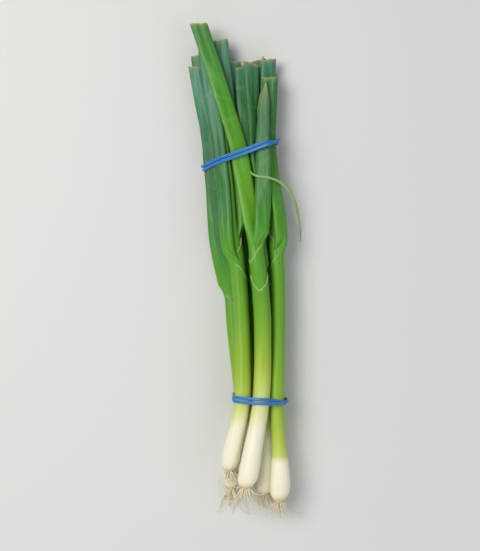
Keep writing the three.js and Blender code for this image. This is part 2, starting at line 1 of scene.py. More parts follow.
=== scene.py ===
# A bunch of eight spring onions lying on a pale surface, held by two doubled blue rubber bands.
# Lengths are millimetres while a piece is being shaped, and metres once it is a mesh. The y of the
# layout is 0 at the lower band, and MIDDLE is where the middle of the whole bunch lies in it.

import math

import bpy
import numpy as np
from mathutils import Matrix, Vector


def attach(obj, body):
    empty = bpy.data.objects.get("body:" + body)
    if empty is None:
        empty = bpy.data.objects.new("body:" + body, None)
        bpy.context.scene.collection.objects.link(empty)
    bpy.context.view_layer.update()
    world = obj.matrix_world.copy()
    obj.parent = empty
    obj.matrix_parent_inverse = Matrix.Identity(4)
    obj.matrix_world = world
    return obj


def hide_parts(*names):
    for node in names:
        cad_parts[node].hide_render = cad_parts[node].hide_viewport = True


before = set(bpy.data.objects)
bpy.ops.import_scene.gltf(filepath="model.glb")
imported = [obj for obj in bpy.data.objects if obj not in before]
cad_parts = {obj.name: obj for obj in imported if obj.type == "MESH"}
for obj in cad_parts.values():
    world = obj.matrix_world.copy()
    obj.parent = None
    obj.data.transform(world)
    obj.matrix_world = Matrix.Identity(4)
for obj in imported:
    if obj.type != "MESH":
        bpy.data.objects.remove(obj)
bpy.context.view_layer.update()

# ------------ the lie of the stems and leaves
# Eight fresh onions are pulled together by two bands and settle against each other and the surface:
# three on top, two between, three below. Every stem and leaf is a line of flat or round sections
# square to the bunch, which are drawn in, pressed apart and straightened until they lie at rest.

MIDDLE = (-13.16, 83.89)
GAP = 0.35  # left clear between any two
PRESS = 0.35  # how far the lowest are flattened
STEP = 9.0  # from one section to the next
SECTIONS = -72.0 + STEP * np.arange(38)
COURSE = [(-72, 0), (0, 0), (75, -6), (165, -16), (261, -24)]  # the bunch's middle line, as y and x
SINKING = [(60, 1), (165, 0.8), (261, 0.7)]  # where, and to what share of their height, the leaves sink

# Each band goes round in an upright plane through x and y, slanted by tilt. Its two turns lie this far
# apart, and squeeze is the share of their spread to which it draws the stems.
LOWER = dict(name="band_lower", y=0.0, x=0.0, tilt=math.radians(-4), apart=2.7, squeeze=0.97)
UPPER = dict(name="band_upper", y=165.0, x=-16.0, tilt=math.radians(19), apart=2.5, squeeze=0.82)
BAND_THICK = 1.2
BAND_SLACK = 0.4  # how far past the gap it stands off the stems
BAND_REACH = 27.0  # how far along the stems it draws them in
MID_HEIGHT = 15.0  # the height towards which it draws them

FOOT_FLAT = 0.3  # what is left of the bulb's cross-section at the very foot
FOOT_DOME = 7  # how far up the foot is domed
BULB_LENGTH = 10
BULB_TAPER = 34  # over which it narrows to the neck
THINNER = 0.07  # how much thinner the stem is past each collar
PARTING = 24  # how far past its collar a leaf has left the stem
WIDENING = 30  # how far past it the leaf has its whole width
FLATTENING = 70  # and is as thin as it gets
FOLDED = (1.75, 1.1)  # how wide and thick it is at the collar, for a neck of radius 1
LEAF_THICK = 3.5
POINT_LENGTH = 55.0  # over which a pointed leaf narrows to its tip
POINT = (2.4, 1.8)  # how wide and thick it is there
ROOTED = 9  # how far before its fork a leaf starts, inside the stem
ASIDE = (0.4, 1.3)  # how far to one side of the stem it then lies, and how far at the fork
RISING = 30  # how far past its fork it lies at its own height

# height is the stem's, at the foot and at the lower band, and x where it lies there and at the first
# fork. bulb and neck are radii. white is the length of the white shank, fade is how gradually it turns
# green, and lime is how green it is 25 mm past the lower band. A leaf's fork is where its collar lies,
# at is its x at the upper band and at its tip, and rise is how far it lies above its stem. low is how
# far past the fork its collar is lowest, if that isn't 3 mm before it. Leaves that aren't pointed are
# cut off. The last leaf of each onion is the youngest, at the heart, and has no fork.
ONIONS = [
    dict(height=(20, 25), foot=-47, x=(-15, -9.4, -11), bulb=6.1, neck=5.1, white=41, fade=17, lime=0.365,
         leaves=[dict(fork=84, tip=236, at=(-27, -37), rise=4, wide=9.8),
                 dict(fork=102, tip=244, at=(-18, -27), rise=-3, wide=10.2),
                 dict(tip=206, at=(-23, -27), rise=0, wide=7.6, pointed=True)]),
    dict(height=(30, 27), foot=-57, x=(-9.5, 2.2, 10), bulb=6.6, neck=5.6, white=58, fade=26, lime=0.315,
         leaves=[dict(fork=72, tip=226, at=(-7, -12), rise=-7, wide=9.4, low=3),
                 dict(fork=96, tip=214, at=(6, 4), rise=4, wide=10.6, pointed=True),
                 dict(tip=254, at=(-12, -42), rise=5, wide=11.8)]),
    dict(height=(23, 23), foot=-67, x=(12.5, 11.6, 12.6), bulb=6.5, neck=4.6, white=29, fade=5, lime=0.43,
         leaves=[dict(fork=90, tip=218, at=(9, 7), rise=4, wide=10.4),
                 dict(fork=108, tip=228, at=(-3, -6), rise=-2, wide=9.8),
                 dict(tip=208, at=(2, 0), rise=0, wide=7.8, pointed=True)]),
    dict(height=(16, 15.5), foot=-64, x=(4, 5.2, 9), bulb=6.2, neck=4.8, white=46, fade=15, lime=0.38,
         leaves=[dict(fork=66, tip=231, at=(3, 6), rise=2, wide=10.2),
                 dict(fork=92, tip=222, at=(-6, -4), rise=-4, wide=10),
                 dict(tip=234, at=(-2, 2), rise=0, wide=8, pointed=True)]),
    dict(height=(15, 16), foot=-52, x=(-5, -5.2, -18), bulb=5.6, neck=4.7, white=42, fade=12, lime=0.4,
         leaves=[dict(fork=58, tip=226, at=(-34, -44), rise=3, wide=9.6),
                 dict(fork=78, tip=240, at=(-27, -33), rise=-2, wide=10.4),
                 dict(fork=98, tip=230, at=(-15, -18), rise=-2, wide=9.8),
                 dict(tip=212, at=(-21, -26), rise=0, wide=7.6, pointed=True)]),
    dict(height=(6, 6.5), foot=-61, x=(-15, -10.1, -22), bulb=6.2, neck=4.9, white=48, fade=14, lime=0.39,
         leaves=[dict(fork=62, tip=235, at=(-34, -42), rise=4, wide=10.2),
                 dict(fork=86, tip=224, at=(-26, -32), rise=-4, wide=10),
                 dict(tip=236, at=(-30, -37), rise=0, wide=8, pointed=True)]),
    dict(height=(6, 6.5), foot=-53, x=(-1, 0, -9), bulb=6, neck=5, white=44, fade=16, lime=0.37,
         leaves=[dict(fork=74, tip=229, at=(-19, -22), rise=4, wide=10.6),
                 dict(fork=94, tip=219, at=(-10, -11), rise=-4, wide=10),
                 dict(tip=233, at=(-14, -17), rise=0, wide=8, pointed=True)]),
    dict(height=(6, 6.5), foot=-62, x=(12, 10.1, 4), bulb=6.3, neck=4.9, white=40, fade=9, lime=0.41,
         leaves=[dict(fork=56, tip=221, at=(1, 6), rise=4, wide=10.2),
                 dict(fork=80, tip=232, at=(-5, -2), rise=-4, wide=10.4),
                 dict(fork=100, tip=214, at=(-9, -8), rise=3, wide=9.6),
                 dict(tip=226, at=(-1, 4), rise=0, wide=7.8, pointed=True)]),
]


def mix(a, b, t):
    return (1 - t) * a + t * b


def ease(t):
    t = np.clip(t, 0, 1)
    return t * t * (3 - 2 * t)


def along(pairs, y):
    """An eased value through (place, value) pairs."""
    y = np.asarray(y, float)
    value = np.full(y.shape, np.nan)
    for (y0, v0), (y1, v1) in zip(pairs, pairs[1:]):
        here = np.isnan(value) & ((y <= y1) | (y1 == pairs[-1][0]))
        value = np.where(here, mix(v0, v1, ease((y - y0) / (y1 - y0))), value)
    return value


def leaf_shape(leaf, neck, fork, y):
    """Half the length of a leaf's core line at y, and the round on it."""
    wide = mix(neck * FOLDED[0], leaf["wide"], ease((y - fork) / WIDENING))
    thick = mix(neck * FOLDED[1], LEAF_THICK, ease((y - fork) / FLATTENING))
    if "pointed" in leaf:
        left = np.clip((leaf["tip"] - y) / POINT_LENGTH, 0, 1)
        wide = mix(POINT[0], wide, np.sqrt(left))
        thick = mix(POINT[1], thick, left)
    return np.maximum(0, wide - thick) / 2, thick / 2


def shank_radius(onion, y):
    """A domed foot, the bulb's swelling, then the neck."""
    up = y - onion["foot"]
    dome = np.clip(up / FOOT_DOME, 0, 1)
    body = mix(onion["bulb"], onion["neck"], ease((up - BULB_LENGTH) / BULB_TAPER))
    return body * np.sqrt(mix(FOOT_FLAT, 1, dome * (2 - dome)))


def heart_shape(onion, collars, y):
    """The stem's own section at y, which is round up to the last collar and then the heart leaf's."""
    last_fork = onion["leaves"][-2]["fork"]
    half, thick = leaf_shape(onion["leaves"][-1], onion["neck"] * 0.8, last_fork, y)
    t = ease((y - last_fork) / PARTING)
    return half * t, mix(shank_radius(onion, y) * (1 - THINNER * collars), thick, t)


# A strand is an onion's stem with its heart leaf, whose fork is 0, or one of its older leaves.
strands = []
for number, onion in enumerate(ONIONS):
    *older, heart = onion["leaves"]
    forks = [leaf["fork"] for leaf in older]
    start = SECTIONS.clip(onion["foot"] + STEP)
    stem = [(0, onion["x"][1]), (forks[0], onion["x"][2])]
    top = [(UPPER["y"], heart["at"][0]), (heart["tip"], heart["at"][1])]
    strands.append(dict(
        number=number, leaf=heart, start=onion["foot"], fork=0, rises=forks[-1], side=0,
        path=[(onion["foot"], onion["x"][0]), *stem, *top],
        shape=heart_shape(onion, sum((start > fork).astype(int) for fork in forks), start)))
    for leaf in older:
        start = leaf["fork"] - ROOTED
        top = [(UPPER["y"], leaf["at"][0]), (leaf["tip"], leaf["at"][1])]
        strands.append(dict(
            number=number, leaf=leaf, start=start, fork=leaf["fork"], rises=leaf["fork"],
            side=-1 if leaf["at"][0] < heart["at"][0] else 1,
            path=[(leaf["fork"], float(along(stem, leaf["fork"]))), *top],
            shape=leaf_shape(leaf, onion["neck"], leaf["fork"], SECTIONS.clip(start + STEP))))

every = np.arange(len(strands))
owner = np.array([s["number"] for s in strands])
first = np.array([math.floor((s["start"] - SECTIONS[0]) / STEP) for s in strands])
last = np.array([math.ceil((s["leaf"]["tip"] - SECTIONS[0]) / STEP) for s in strands])
forking = np.array([math.floor((s["fork"] - SECTIONS[0]) / STEP + 0.5) for s in strands])
branch = np.array([s["fork"] > 0 for s in strands])
neck_of = np.array([list(owner).index(n) for n in owner])
half, thick = np.array([s["shape"] for s in strands]).transpose(1, 0, 2)
place = np.arange(len(SECTIONS))
here = (place >= first[:, None]) & (place <= last[:, None])
within = here & branch[:, None] & (place <= forking[:, None])
aside = np.array([s["side"] for s in strands])[:, None] * np.where(place < forking[:, None], *ASIDE)

# Where each would lie if nothing pressed it aside.
aim_x = np.array([along(s["path"], SECTIONS) for s in strands])
aim_z = []
for s in strands:
    onion = ONIONS[s["number"]]
    rise = s["leaf"]["rise"] * ease((SECTIONS - s["rises"]) / RISING)
    stem = [(onion["foot"], onion["height"][0]), (0, onion["height"][1])]
    stem_height = along(stem, SECTIONS.clip(onion["foot"], 0))
    aim_z.append((stem_height + rise) * along(SINKING, SECTIONS.clip(SINKING[0][0])))
aim_z = np.array(aim_z)

# Two leaves of one onion only begin to press on each other past the fork where they part.
siblings = (owner[:, None] == owner[None])[..., None]
parting = np.maximum(forking[:, None], forking[None])[..., None]
share = np.where(siblings, ease((place - parting) * STEP / PARTING), 1.0)
pairs = here[:, None] & here[None] & ~np.eye(len(strands), dtype=bool)[..., None]
room = (thick[:, None] + thick[None] + GAP) * share
upward = np.where(aim_z[:, None] > aim_z[None], 1.0, -1.0)

ROUNDS = 1500
SPREAD = 2.6  # they start this many times as far apart as they end
DRAWN_IN = 0.35  # the share of the rounds in which they are drawn together
RESTING = 0.7  # the share after which nothing guides them, and every force dies away
LAST_FORCE = 0.3  # what is left of them as it begins
FIRST_LEAN = 0.16  # of the flat sections, this way and that
# How strongly each acts in one round. The guide to their places loosens as they settle.
GUIDE, LOOSE_GUIDE = 0.12, 0.035
WEIGHT, LEVELLING, PULL, STIFFNESS, PUSH = 0.03, 0.09, 0.08, 0.45, 0.6

line = along(COURSE, SECTIONS)
lean = ((every * 7) % 5 - 2)[:, None] * FIRST_LEAN
x, z = line + (aim_x - line) * SPREAD, aim_z * SPREAD
core = np.stack([x - half, z - half * lean, x + half, z + half * lean], -1)


def from_band(band, x, y):
    """How far a place is along the bunch from a band's slanted plane."""
    return y - band["y"] - (x - band["x"]) * math.tan(band["tilt"])


def side_of(a, b, p):
    """On which side of the line from a to b a point lies."""
    return (b[0] - a[0]) * (p[1] - a[1]) - (b[1] - a[1]) * (p[0] - a[0])


def middles():
    return (core[..., 0] + core[..., 2]) / 2, (core[..., 1] + core[..., 3]) / 2


for turn in range(ROUNDS):
    t = turn / ROUNDS
    spread = mix(SPREAD, 1, ease(t / DRAWN_IN))
    settling, resting = t > DRAWN_IN * 0.8, t > RESTING
    force = LAST_FORCE * (1 - t) / (1 - RESTING) if resting else 1.0
    guide = 0.0 if resting else LOOSE_GUIDE if settling else GUIDE

    # Each section moves towards its place, down under its weight, and in where a band is near.
    x, z = middles()
    move_x = guide * (line + (aim_x - line) * spread - x)
    move_z = guide * (aim_z * spread - z) - (WEIGHT * force if settling else 0)
    level = LEVELLING * (core[..., 3] - core[..., 1]) if settling and not resting else 0
    move = np.stack([move_x, move_z + level, move_x, move_z - level], -1)
    for band in (LOWER, UPPER) if settling else ():
        pull = PULL * force * ease(1 - np.abs(from_band(band, x, SECTIONS)) / BAND_REACH)
        pull_x = pull * (line + (aim_x - line) * band["squeeze"] - x)
        pull_z = pull * (MID_HEIGHT + (aim_z - MID_HEIGHT) * band["squeeze"] - z)
        move += np.stack([pull_x, pull_z, pull_x, pull_z], -1)
    core = np.where(here[..., None], core + move, core)

    # Their own stiffness straightens them.
    stiff = STIFFNESS * force
    eased = core + stiff * ((np.roll(core, 1, 1) + np.roll(core, -1, 1)) / 2 - core)
    for end, inward in ((first, 1), (last, -1)):
        a, b, c = core[every, end], core[every, end + inward], core[every, end + 2 * inward]
        eased[every, end] = a + 0.5 * stiff * (2 * b - c - a)
    core = np.where(here[..., None], eased, core)

    # A leaf starts inside its own neck, and leaves it to one side.
    x, z = middles()
    x, z = x[neck_of] + aside, z[neck_of]
    core = np.where(within[..., None], np.stack([x - half, z, x + half, z], -1), core)

    # Those that are too near press each other apart.
    shove, count = np.zeros_like(core), np.zeros(core.shape[:2] + (2,))
    mine, other = core[:, None], core[None]
    line_x, line_z = other[..., 2] - other[..., 0], other[..., 3] - other[..., 1]
    length = np.maximum(line_x * line_x + line_z * line_z, 1e-9)
    for end in (0, 2):
        x, z = mine[..., end] - other[..., 0], mine[..., end + 1] - other[..., 1]
        v = np.clip((x * line_x + z * line_z) / length, 0, 1)
        x, z = x - line_x * v, z - line_z * v
        far = np.sqrt(x * x + z * z)
        near = pairs & (far < room) & (far >= 1e-9)
        push = np.where(near, PUSH * (room - far) / np.where(near, far, 1), 0)
        whole = (1 - v) ** 2 + v ** 2
        for axis, gap in enumerate((x * push, z * push)):
            shove[..., end + axis] += gap.sum(1)
            shove[..., axis] -= (gap * (1 - v) / whole).sum(0)
            shove[..., 2 + axis] -= (gap * v / whole).sum(0)
        count[..., end // 2] += near.sum(1)
        count[..., 0] += (near * (1 - v)).sum(0)
        count[..., 1] += (near * v).sum(0)

    # Flat ones that cross are parted upwards and downwards.
    a, b = (mine[..., 0], mine[..., 1]), (mine[..., 2], mine[..., 3])
    c, d = (other[..., 0], other[..., 1]), (other[..., 2], other[..., 3])
    crossed = (side_of(a, b, c) * side_of(a, b, d) < 0) & (side_of(c, d, a) * side_of(c, d, b) < 0)
    shove[..., 1::2] += (upward * (pairs & crossed & (share == 1))).sum(1)[..., None]
    core = np.where(here[..., None], core + shove / np.maximum(count, 1)[..., [0, 0, 1, 1]], core)

    # Each keeps its size, and stays above the surface, or above a band that passes under it.
    x, z = middles()
    span_x, span_z = core[..., 2] - core[..., 0], core[..., 3] - core[..., 1]
    scale = half / np.maximum(np.sqrt(span_x * span_x + span_z * span_z), 1e-6)
    on_band = np.any([np.abs(from_band(band, x, SECTIONS)) < STEP for band in (LOWER, UPPER)], 0)
    lowest = thick + np.where(on_band, BAND_THICK + GAP + BAND_SLACK, -PRESS)
    reach_x, reach_z = span_x * scale, span_z * scale
    held = [x - reach_x, np.maximum(z - reach_z, lowest), x + reach_x, np.maximum(z + reach_z, lowest)]
    core = np.where(here[..., None], np.stack(held, -1), core)

# The turn of each flat section, carried down along the round stretches, which have none.
FLAT = 0.4  # half of the shortest core line that has a turn
turns = np.zeros(half.shape)
for i in every:
    for k in range(last[i], first[i] - 1, -1):
        if half[i, k] > FLAT:
            turns[i, k] = math.atan2(core[i, k, 3] - core[i, k, 1], core[i, k, 2] - core[i, k, 0])
        elif k < last[i]:
            turns[i, k] = turns[i, k + 1]
middle_x, middle_z = middles()


def curve(a, b, c, d, t):
    """The smooth curve through four places, from the second, where t is 0, to the third."""
    return b + 0.5 * t * (c - a + t * (2 * a - 5 * b + 4 * c - d + t * (3 * (b - c) + d - a)))


def lie(i, y):
    """Where strand i lies at y, on a smooth curve through its sections: x, z and its turn."""
    k = np.clip(np.floor((y - SECTIONS[0]) / STEP).astype(int), first[i], last[i] - 1)
    t = ((y - SECTIONS[k]) / STEP)[..., None]
    rows = np.stack([middle_x[i], middle_z[i], np.unwrap(turns[i])], -1)
    before, after = rows[np.maximum(k - 1, first[i])], rows[np.minimum(k + 2, last[i])]
    return np.moveaxis(curve(before, rows[k], rows[k + 1], after, t), -1, 0)


# ------------ the white shanks and green leaves
# The living tissue of each onion, from the white foot to the leaf tips. It is smooth, ribbed and full
# of water, white where it stood in the ground and waxy green above, and it grew as one piece: sheath
# inside sheath, each opening at a collar and going on as a flattened hollow leaf, cut off for the shop.

AROUND = 56  # points round a leaf or shank
ANGLES = (np.arange(AROUND) + 0.5) * 2 * math.pi / AROUND
SWELL = 0.12  # the stems press against each other and close most of the gap
SUNKEN = 0.2  # how much of its thickness a leaf loses along the middle of either face
RIBS, RIB_SIZE = 11, 0.010
COLLAR = 11.0  # how far a collar's edge climbs from its lowest point to the leaf
COLLAR_LOW = -3  # how far past the fork the lowest point lies
COLLAR_REACH = 2.25  # how far round the stem it goes, to either side
COLLAR_UP = 0.75  # how far it turns upwards from the side where the leaf isn't
BEND = 15.0  # how far from a collar the rings of points still follow its edge
CREASE_WIDE, CREASE_DEEP = 0.9, 0.3
UNDERSIDE, LAYERED = 0.06, 0.05  # how high the flattened underside is, and each layer inside the last
DRY_POINT, DRY_CUT = (0.9, 7.0), (0.7, 1.2)  # how dry a leaf's end is, and how far down it
HOLLOW = 16.0  # how deep a cut leaf is seen to be hollow
# Across a collar's rim: how far past the edge, and how far off the neck.
EDGE = [(-3.0, 0.0), (-1.2, 0.05), (0.0, 0.22), (0.12, 0.14), (0.25, -0.2), (0.6, -0.85)]
# Down a cut leaf's hollow: how deep, how much narrower than the leaf, and how dry.
INSIDE = [(0.0, 0.10, 0.8), (0.2, 0.26, 0.6), (3.0, 0.29, 0.25), (8.0, 0.33, 0.1), (HOLLOW, 0.6, 0.0)]
# By onion and leaf, from 0. Creases chosen for a leaf: where each is, its slant and how firm it is.
CREASES = {(1, 2): [(189, 0.25, 1.0), (203, -0.3, 0.8)]}
# How much riper than its onion a leaf looks: young leaves are bright and old ones dark. The high values
# listed for the older leaves on the left, (0, 0), (0, 1), (4, 0) and (4, 1), are also painted shade, as
# they lie low, under the others.
# Those that aren't listed are drawn from YOUNG, for a heart leaf, or from OLD.
TONES_AND_PAINTED_SHADE = {(1, 2): -0.17, (0, 2): -0.12, (2, 0): 0.04, (0, 0): 0.16, (0, 1): 0.1, (4, 0): 0.16, (4, 1): 0.14}
YOUNG, OLD = (-0.09, -0.03), (0.02, 0.12)


def wrapped(angle):
    """The same angle, less than half a turn either way."""
    return (angle + math.pi) % (2 * math.pi) - math.pi


def waver(seed, y, lengths, size):
    """A smooth repeatable wander along y, from waves of the given lengths."""
    draw = np.random.default_rng(seed)
    waves = sum(np.sin(2 * math.pi * (y / length + draw.random())) for length in lengths)
    return size * waves / len(lengths)


def turned(u, v, angle):
    """The place u, v turned round the middle."""
    return u * np.cos(angle) - v * np.sin(angle), u * np.sin(angle) + v * np.cos(angle)


def oval(seed, y, half, thick, angle):
    """The outline of flattened leaf sections in their own frame, a little sunken along either face."""
    u = (half + thick) * np.sign(np.cos(angle)) * np.abs(np.cos(angle)) ** 0.9
    v = thick * np.sign(np.sin(angle)) * np.abs(np.sin(angle)) ** 0.82
    upper, under = waver(seed, y, (37, 61, 23), 0.24), waver(seed + 1, y, (41, 67, 29), 0.24)
    sunk = SUNKEN + np.where(v > 0, upper, under)
    fold = waver(seed + 2, y, (83, 119), 0.4)
    v = v * (1 - sunk * ease(half / 1.5) * np.exp(-((u / (half + thick) - fold) / 0.42) ** 2))
    ribs = 1 + RIB_SIZE * np.sin(RIBS * angle + waver(seed + 5, y, (90, 140), 2.0))
    return u * ribs, v * ribs


def in_scene(name, data):
    """A new object in the scene."""
    made = bpy.data.objects.new(name, data)
    bpy.context.scene.collection.objects.link(made)
    return made


class Skin:
    """Rings of points joined into a surface, with what the material needs to know of each point."""

    def __init__(self):
        self.points, self.faces, self.count = [], [], 0
        self.fields = {"grain": [], "ripe": [], "mark": []}

    def add(self, x, y, z, grain, ripe, mark, close=(False, False)):
        """Adds a tube of rings, closed at its first and last ring or not."""
        rings, sides = x.shape
        n = np.arange(rings * sides).reshape(rings, sides) + self.count
        a, b = n[:-1], np.roll(n, -1, 1)[:-1]
        c, d = np.roll(n, -1, 1)[1:], n[1:]
        self.faces += np.stack([a, d, c, b], -1).reshape(-1, 4).tolist()
        if close[0]:
            self.faces.append(n[0].tolist())
        if close[1]:
            self.faces.append(n[-1][::-1].tolist())
        self.points.append(np.stack([x - MIDDLE[0], y - MIDDLE[1], z], -1).reshape(-1, 3) / 1000)
        for label, value in (("grain", grain), ("ripe", ripe), ("mark", mark)):
            shape = x.shape if label == "ripe" else x.shape + (3,)
            self.fields[label].append(np.broadcast_to(value, shape).ravel())
        self.count += rings * sides

    def piece(self, name, material, node, slot):
        """Makes the piece, in place of this node of the solids."""
        mesh = bpy.data.meshes.new(name)
        mesh.from_pydata(np.concatenate(self.points).tolist(), [], self.faces)
        for label, rows in self.fields.items():
            kind, key = ("FLOAT", "value") if label == "ripe" else ("FLOAT_VECTOR", "vector")
            mesh.attributes.new(label, kind, "POINT").data.foreach_set(key, np.concatenate(rows))
        mesh.shade_smooth()
        mesh.materials.append(material)
        made = in_scene(name, mesh)
        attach(made, "root")
        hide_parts(node)


class Value:
    """One socket of a material's nodes. Python's operators on it add Math nodes."""

    def __init__(self, socket):
        self.socket = socket

    def node(self, kind, settings, sockets, output=0):
        """Adds any other node: its settings first, then the values or links of its sockets."""
        made = self.socket.id_data.nodes.new(kind)
        for name, value in settings.items():
            if name == "stops":
                while len(made.color_ramp.elements) < len(value):
                    made.color_ramp.elements.new(1)
                for element, (where, colour) in zip(made.color_ramp.elements, value):
                    element.position, element.color = where, (*colour, 1)
            else:
                setattr(made, name, value)
        for name, value in sockets.items():
            plug(made.inputs[name], value)
        return Value(made.outputs[output])

    def maths(self, operation, *values):
        return self.node("ShaderNodeMath", dict(operation=operation), dict(enumerate(values)))

    def __add__(self, other):
        return self.maths("ADD", self, other)

    def __sub__(self, other):
        return self.maths("SUBTRACT", self, other)

    def __rsub__(self, other):
        return self.maths("SUBTRACT", other, self)

    def __mul__(self, other):
        return self.maths("MULTIPLY", self, other)

    __radd__, __rmul__ = __add__, __mul__

    def clip(self, low, high):
        """Where it stands from low to high, as 0 to 1."""
        return self.node("ShaderNodeMapRange", {}, {"Value": self, "From Min": low, "From Max": high})

    def ramp(self, stops):
        """The colour at this place of a row of (place, colour) stops."""
        return self.node("ShaderNodeValToRGB", dict(stops=stops), {0: self})

    def noise(self, scale, detail, roughness):
        """Noise read at this vector, scaled along each of its axes."""
        place = self.node("ShaderNodeVectorMath", dict(operation="MULTIPLY"), {0: self, 1: scale})
        wanted = {"Vector": place, "Scale": 1.0, "Detail": detail, "Roughness": roughness}
        return self.node("ShaderNodeTexNoise", {}, wanted)

    def blend(self, a, b):
        """The colour a where this is 0, and b where it is 1."""
        return self.node("ShaderNodeMix", dict(data_type="RGBA"), {0: self, 6: a, 7: b}, output=2)

    def bump(self, distance, strength):
        """The normal of a surface that is this high."""
        return self.node("ShaderNodeBump", {}, {"Height": self, "Distance": distance, "Strength": strength})


def new_material(name):
    """A new material, its shader, and the fields grain, ripe and mark of the meshes that wear it."""
    material = bpy.data.materials.new(name)
    material.use_nodes = True
    shader = material.node_tree.nodes["Principled BSDF"]
    start = Value(shader.outputs[0])
    fields = (start.node("ShaderNodeAttribute", dict(attribute_name=label), {}, output)
              for label, output in (("grain", 1), ("ripe", 2), ("mark", 1)))
    return material, shader, *fields


def plug(socket, value):
    """Links a socket to a Value, or sets it."""
    if isinstance(value, Value):
        socket.id_data.links.new(value.socket, socket)
    else:
        socket.default_value = value


def feed(shader, **values):
    """Links or sets sockets of the shader, named with _ for a space."""
    for name, value in values.items():
        plug(shader.inputs[name.replace("_", " ")], value)


# From the foot, by way of white, pale yellow and lime, to the blue-green of the tips.
RIPENING = [
    (0.00, (0.74, 0.60, 0.38)), (0.05, (0.84, 0.81, 0.63)), (0.13, (0.83, 0.815, 0.64)),
    (0.20, (0.67, 0.69, 0.27)), (0.26, (0.50, 0.59, 0.09)), (0.34, (0.32, 0.475, 0.030)),
    (0.44, (0.165, 0.37, 0.016)), (0.54, (0.100, 0.32, 0.014)), (0.66, (0.070, 0.275, 0.020)),
    (0.78, (0.033, 0.165, 0.026)), (0.88, (0.024, 0.125, 0.040)), (1.00, (0.040, 0.18, 0.115)),
]
WHITE_VEIN, GREEN_VEIN = (0.93, 0.91, 0.78, 1), (0.17, 0.42, 0.05, 1)
WHITE_GROOVE, GREEN_GROOVE = (0.74, 0.73, 0.50, 1), (0.035, 0.14, 0.012, 1)
WAX_BLOOM = (0.11, 0.29, 0.17, 1)
BROWN_SPECK = (0.42, 0.27, 0.13, 1)
BRUISED_CREASE = (0.22, 0.42, 0.12, 1)
PALE_RIM = (0.50, 0.60, 0.27, 1)
DRY_TIP = (0.42, 0.37, 0.17, 1)


def plant_material(name, glow):
    """Ribbed, waxy tissue that ripens from white to green, and lets this much light in."""
    material, shader, grain, ripe, mark = new_material(name)
    split = mark.node("ShaderNodeSeparateXYZ", {}, {0: mark})
    rim, crease, dry = (Value(split.socket.node.outputs[n]) for n in range(3))

    ribs = grain.noise((1.5, 1.5, 0.012), 3.0, 0.6)
    threads = grain.noise((4.5, 4.5, 0.03), 2.0, 0.6)
    clouds = grain.noise((0.16, 0.16, 0.03), 3.0, 0.6)
    patches = grain.noise((0.35, 0.35, 0.09), 4.0, 0.65)
    specks = grain.noise((2.2, 2.2, 1.6), 3.0, 0.7)
    green = ripe.clip(0.15, 0.3)
    old = ripe.clip(0.5, 0.85)

    colour = (ripe + (ribs - 0.5) * 0.08 + (clouds - 0.5) * 0.07).ramp(RIPENING)
    veins = ribs.clip(0.44, 0.64) * (0.16 * green + 0.10 - 0.11 * old)
    colour = veins.blend(colour, green.blend(WHITE_VEIN, GREEN_VEIN))
    grooves = ribs.clip(0.5, 0.34) * (0.22 * green + 0.05)
    colour = grooves.blend(colour, green.blend(WHITE_GROOVE, GREEN_GROOVE))
    bloom = patches.clip(0.42, 0.70) * old * 0.26
    colour = bloom.blend(colour, WAX_BLOOM)
    colour = (specks.clip(0.66, 0.74) * ripe.clip(0.09, 0.02) * 0.5).blend(colour, BROWN_SPECK)
    colour = (crease * 0.3).blend(colour, BRUISED_CREASE)
    colour = (rim * 0.5).blend(colour, PALE_RIM)
    colour = dry.blend(colour, DRY_TIP)

    rough = 0.34 + bloom * 0.6 + dry * 0.35 + (patches - 0.5) * 0.14
    relief = (ribs * 0.7 + threads * 0.3 + patches * 0.3).bump(0.00022, 0.75)
    feed(shader, Base_Color=colour, Roughness=rough, IOR=1.38, Normal=relief,
         Subsurface_Weight=glow, Subsurface_Radius=(0.9, 1.0, 0.5), Subsurface_Scale=0.002)
    return material


def ripeness(onion, y):
    """How far the tissue has turned from the white of the foot to the blue-green of the tips."""
    foot, fade = onion["foot"], onion["fade"]
    white = foot + onion["white"]
    fork = onion["leaves"][0]["fork"]
    at = [foot, foot + 5, white - 0.8 * fade, white + 0.25 * fade, 25, fork, fork + 70, 250]
    return np.interp(y, at, [0.015, 0.06, 0.13, 0.25, onion["lime"], 0.53, 0.68, 0.93])


def places(start, end, border, collar, extra):
    """Rings a millimetre or so apart, closer at the collar and the tip, with one on the border."""
    fine = [(collar - 7, collar + 10), (end - 3, end)]
    y = [start]
    while y[-1] < end:
        y.append(y[-1] + (0.5 if any(low < y[-1] < high for low, high in fine) else 1.15))
    y = np.array(y[:-1])
    special = np.array([end, border] + extra)
    y = y[np.abs(y[:, None] - special).min(1) > 0.2]
    return np.unique(np.concatenate([y, special[(special > start) & (special <= end)]]))


def collar_edge(leaf, own, neck, seed):
    """All round the neck, how far past its fork a collar's edge lies, and how far it is open."""
    beyond = np.array(leaf["fork"] + 16.0)
    (leaf_x, leaf_z, _), (stem_x, stem_z, _) = lie(own, beyond), lie(neck, beyond)
    away = math.atan2(stem_z - leaf_z, stem_x - leaf_x)
    opens = away + COLLAR_UP * math.sin(wrapped(math.pi / 2 - away))
    off = np.abs(wrapped(ANGLES - opens))
    climb = (1 - np.cos(np.minimum(off / COLLAR_REACH, 1) * math.pi)) / 2
    edge = leaf.get("low", COLLAR_LOW) + COLLAR * climb + waver(seed + 4, ANGLES * 10, (9, 17), 0.5)
    return edge, 1 - ease((off - 0.82 * COLLAR_REACH) / 0.4)


